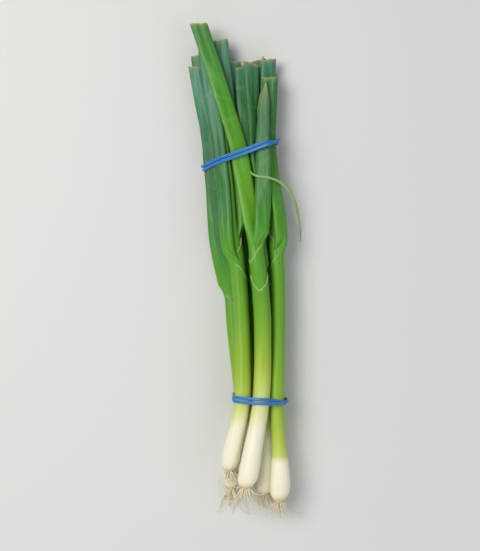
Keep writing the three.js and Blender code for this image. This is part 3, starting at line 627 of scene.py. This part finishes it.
def add_hollow(skin, x, y, z, grain, ripe, to_tip, turn):
    """Adds the thin wall that a leaf's cut end shows, and the hollow inside it."""
    depth, shrink, stain = np.array(INSIDE).T[..., None]
    rows = [np.abs(to_tip[:, 0] - d).argmin() for d in depth[:, 0]]
    centre_x, centre_z = x[rows].mean(1, keepdims=True), z[rows].mean(1, keepdims=True)
    u, v = turned(x[rows] - centre_x, z[rows] - centre_z, -turn[rows])
    u, v = turned(u * (1 - 0.45 * shrink), v * (1 - shrink), turn[rows])
    x_in, z_in = np.concatenate([x[-1:], centre_x + u]), np.concatenate([z[-1:], centre_z + v])
    y_in = np.concatenate([y[-1:], y[-1:] - depth])
    stain = np.concatenate([stain[:1], stain])
    mark = np.stack(np.broadcast_arrays(0 * stain, 0 * stain, stain + 0 * x_in), -1)
    rows = [len(x) - 1] + rows
    skin.add(x_in, y_in, z_in, grain[rows], ripe[rows] * 0.8, mark, (False, True))


def outside(i, y, away=0.0):
    """Points round strand i at y, this far off its skin: their x and z."""
    strand = strands[i]
    onion = ONIONS[strand["number"]]
    if strand["fork"]:
        flat, thick = leaf_shape(strand["leaf"], onion["neck"], strand["fork"], y)
    else:
        flat, thick = heart_shape(onion, sum(leaf["fork"] < y for leaf in onion["leaves"][:-1]), y)
    x, z, turn = lie(i, y)
    a = np.arange(48) * math.pi / 24 + 0.01
    away = away + thick + SWELL
    u, v = turned(np.sign(np.cos(a)) * flat + away * np.cos(a), away * np.sin(a), turn)
    return x + u, z + v


def crown(x, y):
    """How high the bunch is at a place."""
    heights = [0.0]
    for i, strand in enumerate(strands):
        if strand["start"] < y < strand["leaf"]["tip"]:
            (x0, x1), (z0, z1) = ((side, np.roll(side, -1)) for side in outside(i, np.array(y)))
            over = np.flatnonzero((x0 - x) * (x1 - x) < 0)
            heights += (z0 + (z1 - z0) * (x - x0) / (x1 - x0))[over].tolist()
    return max(heights)


def unit(rows):
    """Each row as a vector of length 1."""
    return rows / np.linalg.norm(rows, axis=1)[:, None]


# A strip torn off one leaf: which, where it comes away, the places that it then goes by, and its half
# widths at shares of its length.
TORN_LEAF = (1, 2)
TORN_AT = 160.0
TORN_WAY = [(-7.0, 156), (-5.2, 152.4), (-1.5, 150.4), (5.4, 149.4), (13.7, 146.3), (20.7, 139.8),
            (25.3, 129.8), (28.4, 117), (28.8, 107)]
TORN_WIDTHS = [(0, 0.3), (0.12, 0.75), (0.3, 0.8), (0.7, 1.1), (0.96, 0.4), (1, 0.08)]
TORN_THICK = 0.16
TORN_OFF = 0.4  # how far off what it lies on its middle is
TORN_SLOPE, TORN_SAG = 0.2, 0.012  # how steeply it leaves what holds it up, and how it then falls


def add_torn_strip(skin, leaf):
    """Adds a soft strip that curls away from its leaf, over the others and down to the surface."""
    x, z = outside(leaf, np.array(TORN_AT))
    edge = x.argmax()
    way = [(x[edge] - 1.5, TORN_AT), *TORN_WAY]
    way = np.array([way[0], *way, way[-1]])
    t = np.linspace(0, len(way) - 3.001, 120)
    k, t = t.astype(int), (t % 1)[:, None]
    path = curve(way[k], way[k + 1], way[k + 2], way[k + 3], t)

    # It hangs as a soft thing does between what holds it up, with no sharp bend.
    far = np.append(0, np.cumsum(np.linalg.norm(np.diff(path, axis=0), axis=1)))
    gone = np.maximum(np.abs(far[:, None] - far) - 7 * far[1], 0)
    held = np.array([crown(*place) for place in path]) - TORN_SLOPE * gone - TORN_SAG * gone ** 2
    soft = np.hanning(15) / np.hanning(15).sum()
    height = np.convolve(np.pad(held.max(1).clip(0), 7, "edge"), soft, "valid") + TORN_OFF
    path = np.column_stack([path, mix(z[edge], height, ease((far - 3) / 9))])

    # It is flat, thicker along its middle, and twists as it goes.
    t = (far / far[-1])[:, None]
    ahead = unit(np.gradient(path, axis=0))
    flat = unit(np.cross(ahead, [0, 0, 1]))
    normal = np.cross(flat, ahead)
    twist = 0.1 + 0.9 * ease((t - 0.5) / 0.4)
    flat, normal = (np.cos(twist) * flat + np.sin(twist) * normal,
                    np.cos(twist) * normal - np.sin(twist) * flat)
    corner = (np.arange(10) + 0.5) * math.pi / 5
    half = np.interp(t, *zip(*TORN_WIDTHS))[..., None]
    across = half * np.cos(corner)[:, None]
    over = TORN_THICK * (np.sin(corner) - np.cos(corner) ** 2)[:, None] + 0 * half
    x, y, z = np.moveaxis(path[:, None] + across * flat[:, None] + over * normal[:, None], -1, 0)
    grain = np.concatenate([across, over, np.broadcast_to(far[:, None, None], across.shape)], -1)
    mark = np.stack(np.broadcast_arrays(0.85, 0.5, 0.9 * ease((t - 0.93) / 0.07) + 0 * x), -1)
    skin.add(x, y, z.clip(0.1), grain, 0.7, mark, (True, True))


shank_material = plant_material("shank_white", 0.3)
leaf_material = plant_material("leaf_green", 0.08)

for number, onion in enumerate(ONIONS):
    shank, leaves = Skin(), Skin()
    *older, heart = onion["leaves"]
    neck = list(owner).index(number)
    border = onion["foot"] + onion["white"]
    begin = onion["foot"]
    for layer, leaf in enumerate(onion["leaves"]):
        seed = 100 * number + 10 * layer
        draw = np.random.default_rng(seed)
        is_heart, pointed = leaf is heart, "pointed" in leaf
        own = neck if is_heart else neck + 1 + layer
        fork = older[-1]["fork"] if is_heart else leaf["fork"]
        edge_rows = [] if is_heart else [fork + past for past, _ in EDGE]
        s = places(begin, leaf["tip"], border if not layer else leaf["tip"], fork, edge_rows)[:, None]
        past, to_tip = s - fork, leaf["tip"] - s

        # The collar opens away from its leaf and somewhat upwards. Rings of points follow its edge.
        y = np.repeat(s, AROUND, 1)
        opening = 0 * ANGLES
        if not is_heart:
            edge, opening = collar_edge(leaf, own, neck, seed)
            y = y + edge * np.exp(-(past / BEND) ** 2)

        # A flattened leaf, or a thick round stem.
        own_turn = lie(own, s)[2] + waver(seed + 3, s, (47, 71, 31), 0.10) * ease((past - 30) / 30)
        first_turn = float(own_turn[np.abs(past).argmin(), 0])
        if is_heart:
            flat, thick = heart_shape(onion, layer, s)
        else:
            flat, thick = leaf_shape(leaf, onion["neck"], fork, np.maximum(s, fork - ROOTED))
        if pointed:
            point = np.sqrt(np.clip(to_tip / 12, 0.0005, 1))
            flat, thick = flat * point, thick * point
        u, v = oval(seed, s, flat, thick + SWELL, ANGLES - first_turn)

        # One or two creases lie across it, and a cut end is a little slanted and uneven.
        drawn = [(draw.uniform(fork + 50, leaf["tip"] - 12), draw.uniform(-0.7, 0.7),
                  draw.uniform(0.2, 0.8)) for _ in range(draw.integers(1, 3))]
        creased = np.zeros_like(u)
        for at, slant, firm in CREASES.get((number, layer), drawn):
            creased = np.maximum(creased, firm * np.exp(-((s - at - slant * u) / CREASE_WIDE) ** 2))
        v = v * (1 - CREASE_DEEP * creased)
        if not pointed:
            uneven = draw.uniform(-0.28, 0.28) * u + waver(seed + 6, ANGLES * 8, (5, 11), 0.3)
            y = y + uneven * ease(1 - to_tip / 9)
        own_x, own_z, _ = lie(own, y)
        grain_u, grain_v = turned(u, v, first_turn)
        u, v = turned(u, v, own_turn)

        # Below its collar it is a sheath round the neck, and past it what faces the neck is hidden.
        neck_x, neck_z, _ = lie(neck, y)
        if is_heart:
            x, z = own_x + u, own_z + v
            radius = onion["neck"]
        else:
            radius = shank_radius(onion, y) * (1 - THINNER * layer) + SWELL
            radius = radius * (1 + 0.02 * np.cos(2 * ANGLES + waver(number, y, (60, 90), 2))
                               + 0.012 * np.cos(3 * ANGLES + waver(number + 50, y, (50, 80), 2)))
            radius = radius + opening * np.interp(past, *zip(*EDGE))
            w = mix(ease((past + 6) / 19), ease(past / 17), opening)
            x = mix(neck_x + radius * np.cos(ANGLES), own_x + u, w)
            z = mix(neck_z + radius * np.sin(ANGLES), own_z + v, w)
        z = np.maximum(z, UNDERSIDE + LAYERED * layer)

        # A leaf's tone comes from its age. For the four dark listed leaves on the left it is also painted
        # shade.
        tone_and_shade = TONES_AND_PAINTED_SHADE.get((number, layer), draw.uniform(*(YOUNG if is_heart else OLD)))
        ripe = np.clip(ripeness(onion, y) + tone_and_shade * ease(past / 50), 0, 1)
        settled = ease((past + 10) / 90)
        grain = np.stack([mix(radius * np.cos(ANGLES), grain_u, settled) + number * 37,
                          mix(radius * np.sin(ANGLES), grain_v, settled) + layer * 23, y], -1)
        dryness, reach = DRY_POINT if pointed else DRY_CUT
        dry = dryness * np.exp(-to_tip / reach)
        rim = opening * np.exp(-(past / 1.0) ** 2)
        mark = np.stack(np.broadcast_arrays(rim, creased, dry), -1)
        rings = (x, y, z, grain, ripe, mark)
        if layer:
            leaves.add(*rings, (True, pointed))
        else:
            white, green = s[:, 0] <= border, s[:, 0] >= border
            shank.add(*(row[white] for row in rings), (True, False))
            leaves.add(*(row[green] for row in rings), (False, pointed))
        if not pointed:
            add_hollow(leaves, x, y, z, grain, ripe, to_tip, own_turn)
        if (number, layer) == TORN_LEAF:
            add_torn_strip(leaves, own)
        begin = fork - 12

    name = f"onion_{number + 1}"
    shank.piece(name + "_shank_skin", shank_material, name + "_shank", "shank_white")
    leaves.piece(name + "_leaf_skin", leaf_material, name + "_leaves", "leaf_green")

# ------------ the root tufts
# Under each bulb is a small peach-coloured plate of hard stem, out of which a tuft of whitish hair
# roots has grown, fused to it. They were washed and have half dried, so that they curl and cling.

# Down the plate: how far past the foot, and how wide, as a share of the foot.
PLATE = [(0.0, 0.97), (-0.4, 1.02), (-1.0, 0.97), (-1.6, 0.80), (-2.1, 0.52), (-2.4, 0.2)]
PLATE_SIDES = 28
# How many roots each onion has, how long they are, how much they curl, and how brown they are.
TUFTS = [(18, (5, 13), 3.6, 0.35), (26, (6, 19), 4.2, 0.15), (24, (5, 14), 3.0, 0.75),
         (24, (6, 18), 3.4, 0.5), (22, (7, 20), 3.2, 0.4), (26, (7, 20), 3.6, 0.5),
         (24, (6, 18), 3.4, 0.3), (26, (7, 20), 3.8, 0.6)]
ROOT_POINTS, ROOT_SIDES = 18, 7
ROOT_DEPTH = 1.2  # how far below the foot a root starts, inside the plate
ROOT_GIRTH = (0.24, 0.54)
LONG_ROOTS, LONGER = 0.12, 1.35  # the share that are longer than the rest, and how much
GOLDEN_ANGLE = 2.39996  # from each root to the next, to spread them evenly
SAG = (0, -0.02, -0.05)  # added to its heading at each point
# From the brown of the plate, by way of straw and cream, to the brown of dry root tips.
ROOT_SHADES = [(0.0, (0.50, 0.33, 0.16)), (0.18, (0.63, 0.48, 0.25)), (0.4, (0.69, 0.60, 0.39)),
               (0.62, (0.76, 0.71, 0.52)), (0.8, (0.70, 0.60, 0.40)), (1.0, (0.46, 0.34, 0.19))]

root_material, shader, grain, ripe, _ = new_material("root_straw")
speckle = grain.noise((1.3, 1.3, 1.3), 3.0, 0.6)
scaly = grain.noise((3.5, 3.5, 3.5), 2.0, 0.6)
feed(shader, Base_Color=(ripe + (speckle - 0.5) * 0.45).ramp(ROOT_SHADES),
     Roughness=0.6 + (speckle - 0.5) * 0.25, Normal=(speckle * 0.5 + scaly * 0.5).bump(0.0003, 0.6),
     Subsurface_Weight=0.1, Subsurface_Radius=(1.0, 0.8, 0.5), Subsurface_Scale=0.0008)


def root_path(draw, begin, heading, size, curl, highest):
    """A root's course, which curls at random and sags, below its plate and above the surface."""
    axis = Vector(draw.normal(size=3)).normalized()
    bend = draw.uniform(-curl, curl)
    path = [begin]
    for k in range(1, ROOT_POINTS):
        axis = (axis + Vector(draw.normal(size=3)) * 0.35).normalized()
        heading = Matrix.Rotation(bend / ROOT_POINTS * (0.3 + 1.9 * k / ROOT_POINTS), 3, axis) @ heading
        heading = (heading + Vector(SAG)).normalized()
        point = path[-1] + heading * size / (ROOT_POINTS - 1)
        path.append(Vector((point.x, min(point.y, highest), max(point.z, 0.45))))
    return np.array(path)


def tube_round(path, girth):
    """Rings of points round a path, of this radius."""
    ahead = unit(np.gradient(path, axis=0))
    side = unit(np.cross(ahead, [0.3, 0.2, 0.93]))
    up = np.cross(side, ahead)
    corner = np.arange(ROOT_SIDES) * 2 * math.pi / ROOT_SIDES
    return path[:, None] + girth[:, None, None] * (np.cos(corner)[:, None] * side[:, None]
                                                   + np.sin(corner)[:, None] * up[:, None])


for number, (onion, (roots, lengths, curl, brown)) in enumerate(zip(ONIONS, TUFTS)):
    tuft = Skin()
    draw = np.random.default_rng(500 + number)
    foot = onion["foot"]
    x0, z0, _ = lie(list(owner).index(number), np.array(float(foot)))
    radius = float(shank_radius(onion, np.array([foot]))[0])

    around = (np.arange(PLATE_SIDES) + 0.5) * 2 * math.pi / PLATE_SIDES
    drop, narrow = np.array(PLATE).T[..., None]
    knobs = 1 + 0.05 * np.sin(around * 3 + number) + 0.05 * np.sin(around * 8 + 2 * number)
    x, z = x0 + radius * narrow * np.cos(around) * knobs, z0 + radius * narrow * np.sin(around) * knobs
    y = foot + 0.15 + drop + 0.25 * narrow * np.sin(around * 5 + number) + 0 * x
    x, y, z = x[::-1], y[::-1], z[::-1].clip(0.1)
    tuft.add(x, y, z, np.stack([x, y, z], -1), 0.14 + 0.1 * narrow[::-1], 0.0, (True, True))

    t = np.linspace(0, 1, ROOT_POINTS)
    for n in range(roots):
        reach = radius * math.sqrt((n + 0.5) / roots) * 0.86
        angle = n * GOLDEN_ANGLE + draw.uniform(-0.3, 0.3)
        size = draw.uniform(*lengths) * (LONGER if draw.random() < LONG_ROOTS else 1)
        lean_out = draw.uniform(0.1, 0.9) * (0.3 + reach / radius)
        heading = Vector((math.cos(angle) * lean_out, -1, math.sin(angle) * lean_out)).normalized()
        begin = Vector((x0 + reach * math.cos(angle), foot - ROOT_DEPTH, z0 + reach * math.sin(angle)))
        path = root_path(draw, begin, heading, size, curl, foot - 0.9)
        girth = draw.uniform(*ROOT_GIRTH) * (1 - 0.62 * t ** 0.8) * (1 + 0.1 * np.sin(t * 37 + n))
        shade = 0.62 - 0.28 * brown * draw.random() + (0.1 + 0.35 * brown) * t[:, None] ** 2
        tube = tube_round(path, girth)
        tuft.add(tube[..., 0], tube[..., 1], tube[..., 2].clip(0.05), tube, shade, 0.0, (True, True))
    tuft.piece(f"onion_{number + 1}_root_tuft", root_material, f"onion_{number + 1}_roots", "root_straw")

# ------------ the rubber bands
# Two loops cut from thin blue rubber tube, each stretched and wound twice round the bunch. The two
# turns lie side by side and grip by their own pull, and one climbs over the other where they cross.

BAND_WIDE = 2.1
HUG = 0.12  # how near the stems the rubber lies
RINGS = 216  # in one turn
RING_STEP = 0.42  # between them, about
BEND_LENGTH = 4.0  # a bend of a radian has as many rings as this much straight band
CROSSING = RINGS / 18  # where the turns change places
# Each corner of the rubber's section across and up, and how much painted highlight it gets, which shows
# only on the rounded edges.
SECTION = [(-1, -0.25, 1.0), (-0.86, -0.9, 0.9), (-0.5, -1, 0.3),
           (0.5, -1, 0.3), (0.86, -0.9, 0.9), (1, -0.25, 1.0),
           (1, 0.25, 1.0), (0.86, 0.9, 0.9), (0.5, 1, 0.15),
           (-0.5, 1, 0.15), (-0.86, 0.9, 0.9), (-1, 0.25, 1.0)]
HALF = 0.48  # how much of its width and thickness lies to either side
# The rubber's blue, and the paler blue of its painted edge highlight and of its dust.
BLUE_RUBBER, SHEEN_AND_DUST_BLUE = (0.010, 0.15, 0.50, 1), (0.12, 0.40, 0.68, 1)

band_material, shader, grain, ripe, _ = new_material("band_rubber")
dust = grain.noise((0.25, 3.0, 3.0), 3.0, 0.6)
dots = grain.noise((2.6, 2.6, 2.6), 3.0, 0.7)
# Painted highlight: the ripe field here holds each corner's painted highlight, so the rounded edges of each
# turn are painted a paler blue, as where light catches them. Patches of real dust on the rubber are paler
# too.
sheen_and_dust = ripe.clip(0.5, 1.0) * 0.45 + dust.clip(0.5, 0.8) * 0.3
feed(shader, Base_Color=sheen_and_dust.blend(BLUE_RUBBER, SHEEN_AND_DUST_BLUE), Roughness=0.42 + (dots - 0.5) * 0.25,
     Normal=(dust * 0.6 + dots * 0.4).bump(0.00012, 0.8))


def hull(points):
    """The outer points of a flat set, in order round it."""
    chains = []
    for ordered in (sorted(points), sorted(points, reverse=True)):
        chain = []
        for p in ordered:
            while len(chain) > 1 and side_of(chain[-2], chain[-1], p) <= 0:
                chain.pop()
            chain.append(p)
        chains += chain[:-1]
    return np.array(chains)


def drawn_tight(band):
    """The line that the band's middle takes round the stems, in its own slanted plane."""
    points = []
    for i, strand in enumerate(strands):
        y = band["y"]
        for _ in range(6):  # ever nearer to where the plane cuts the strand
            inside = np.clip(y, strand["start"], strand["leaf"]["tip"])
            y = band["y"] + (lie(i, inside)[0] - band["x"]) * math.tan(band["tilt"])
        if strand["start"] <= y <= strand["leaf"]["tip"]:
            x, z = outside(i, y, HUG + BAND_THICK / 2)
            u, v = (x - band["x"]) / math.cos(band["tilt"]), z.clip(BAND_THICK / 2 + 0.05)
            points += zip(u.tolist(), v.tolist())
    loop = hull(points)
    loop = np.roll(loop, -int(loop[:, 0].argmax()), 0)
    return np.concatenate([loop, loop[:1]])


n = np.arange(2 * RINGS)
for band in (LOWER, UPPER):
    # The rings are spread along it and crowd where it bends, and rubber rounds each corner off.
    loop = drawn_tight(band)
    run = np.diff(loop, axis=0)
    bends = np.abs(np.diff(np.unwrap(np.arctan2(run[:, 1], run[:, 0])), prepend=math.pi / 2))
    far = np.concatenate([[0], np.cumsum(np.linalg.norm(run, axis=1) + bends * BEND_LENGTH)])
    soft = np.exp(-np.linspace(-2, 2, 9) ** 2)
    u, v = (np.interp(far[-1] * (n % RINGS) / RINGS, far, column) for column in loop.T)
    u, v = (np.convolve(np.concatenate([w[-4:], w, w[:4]]), soft / soft.sum(), "valid") for w in (u, v))
    out = unit(np.stack([np.roll(v, -1) - np.roll(v, 1), np.roll(u, 1) - np.roll(u, -1)], -1))

    # The turns lie apart, change places once, and one is lifted over the other there.
    forward = band["apart"] / 2 * np.tanh(6 * np.cos((n - CROSSING + RINGS / 2) / RINGS * math.pi))
    forward += waver(85, n, (RINGS / 2, RINGS / 5), 0.18)
    steps = np.abs((n - CROSSING + 2.5 * RINGS) % (2 * RINGS) - RINGS / 2) * 36 / RINGS
    hump = (BAND_THICK + GAP) * (1 - ease((steps - 2.2) / 3))
    across, up, edge_highlight = np.array(SECTION).T
    roll = waver(70, n, (RINGS / 3, RINGS / 5), 0.14)[:, None]
    w, h = turned(across * BAND_WIDE * HALF, up * BAND_THICK * HALF, roll)
    sideways, raised = forward[:, None] + w, hump[:, None] + h
    reach = u[:, None] + out[:, :1] * raised
    cos, sin = math.cos(band["tilt"]), math.sin(band["tilt"])
    x, y = band["x"] + reach * cos - sideways * sin, band["y"] + reach * sin + sideways * cos
    z = np.maximum(v[:, None] + out[:, 1:] * raised, 0.03)

    rubber = Skin()
    order = np.append(n, 0)
    length = np.append(n, 2 * RINGS)[:, None] * RING_STEP + 0 * across
    grain = np.stack([length, across * BAND_WIDE / 2 + 0 * length, up * BAND_THICK / 2 + 0 * length], -1)
    rubber.add(x[order], y[order], z[order], grain, edge_highlight, 0.0)
    rubber.piece(band["name"] + "_rubber", band_material, band["name"], "band_rubber")

# ------------ the surface, the lights and the camera
# A plain pale table that the bunch lies on, under soft studio lights, of which the brightest stands to
# the left, past the leaf tips. The camera looks straight down, with the leaf tips at the top.

PALE_TABLE = (0.66, 0.66, 0.645, 1)
STUDIO_AIR = (0.95, 0.98, 1.0, 1)
LIGHTS = [("key", (-0.55, 0.30, 1.05), (0.7, 0.7), 11.5, (1.0, 0.98, 0.94)),
          ("fill", (0.75, -0.35, 0.75), (0.8, 0.8), 2.2, (0.93, 0.97, 1.0)),
          ("front", (0.0, -1.0, 0.6), (1.0, 0.5), 2.2, (1.0, 1.0, 1.0))]
LIT = (0, 0, 0.02)  # the place in the bunch that the lights face
VIEW_HEIGHT = 0.372  # of the surface that the picture's height takes in

floor_mesh = bpy.data.meshes.new("floor")
floor_mesh.from_pydata([(-4, -4, 0), (4, -4, 0), (4, 4, 0), (-4, 4, 0)], [], [(0, 1, 2, 3)])
floor = in_scene("floor", floor_mesh)
floor_material, shader, *_ = new_material("pale_table")
feed(shader, Base_Color=PALE_TABLE, Roughness=0.75)
floor_mesh.materials.append(floor_material)

world = bpy.data.worlds.new("studio")
bpy.context.scene.world = world
world.use_nodes = True
air = world.node_tree.nodes["Background"]
air.inputs["Color"].default_value = STUDIO_AIR
air.inputs["Strength"].default_value = 0.32

for name, where, size, power, colour in LIGHTS:
    light = bpy.data.lights.new(name, "AREA")
    light.shape = "RECTANGLE"
    light.size, light.size_y = size
    light.energy = power
    light.color = colour
    lamp = in_scene(name, light)
    lamp.location = where
    lamp.rotation_mode = "QUATERNION"
    lamp.rotation_quaternion = (Vector(LIT) - Vector(where)).to_track_quat("-Z", "Y")

lens = bpy.data.cameras.new("camera")
lens.lens = 85
lens.sensor_width = 36
camera = in_scene("camera", lens)
camera.location = (0, 0, VIEW_HEIGHT * lens.lens / lens.sensor_width + 0.02)
camera.rotation_euler = (0, 0, 0)
bpy.context.scene.camera = camera
bpy.context.scene.view_settings.view_transform = "Standard"
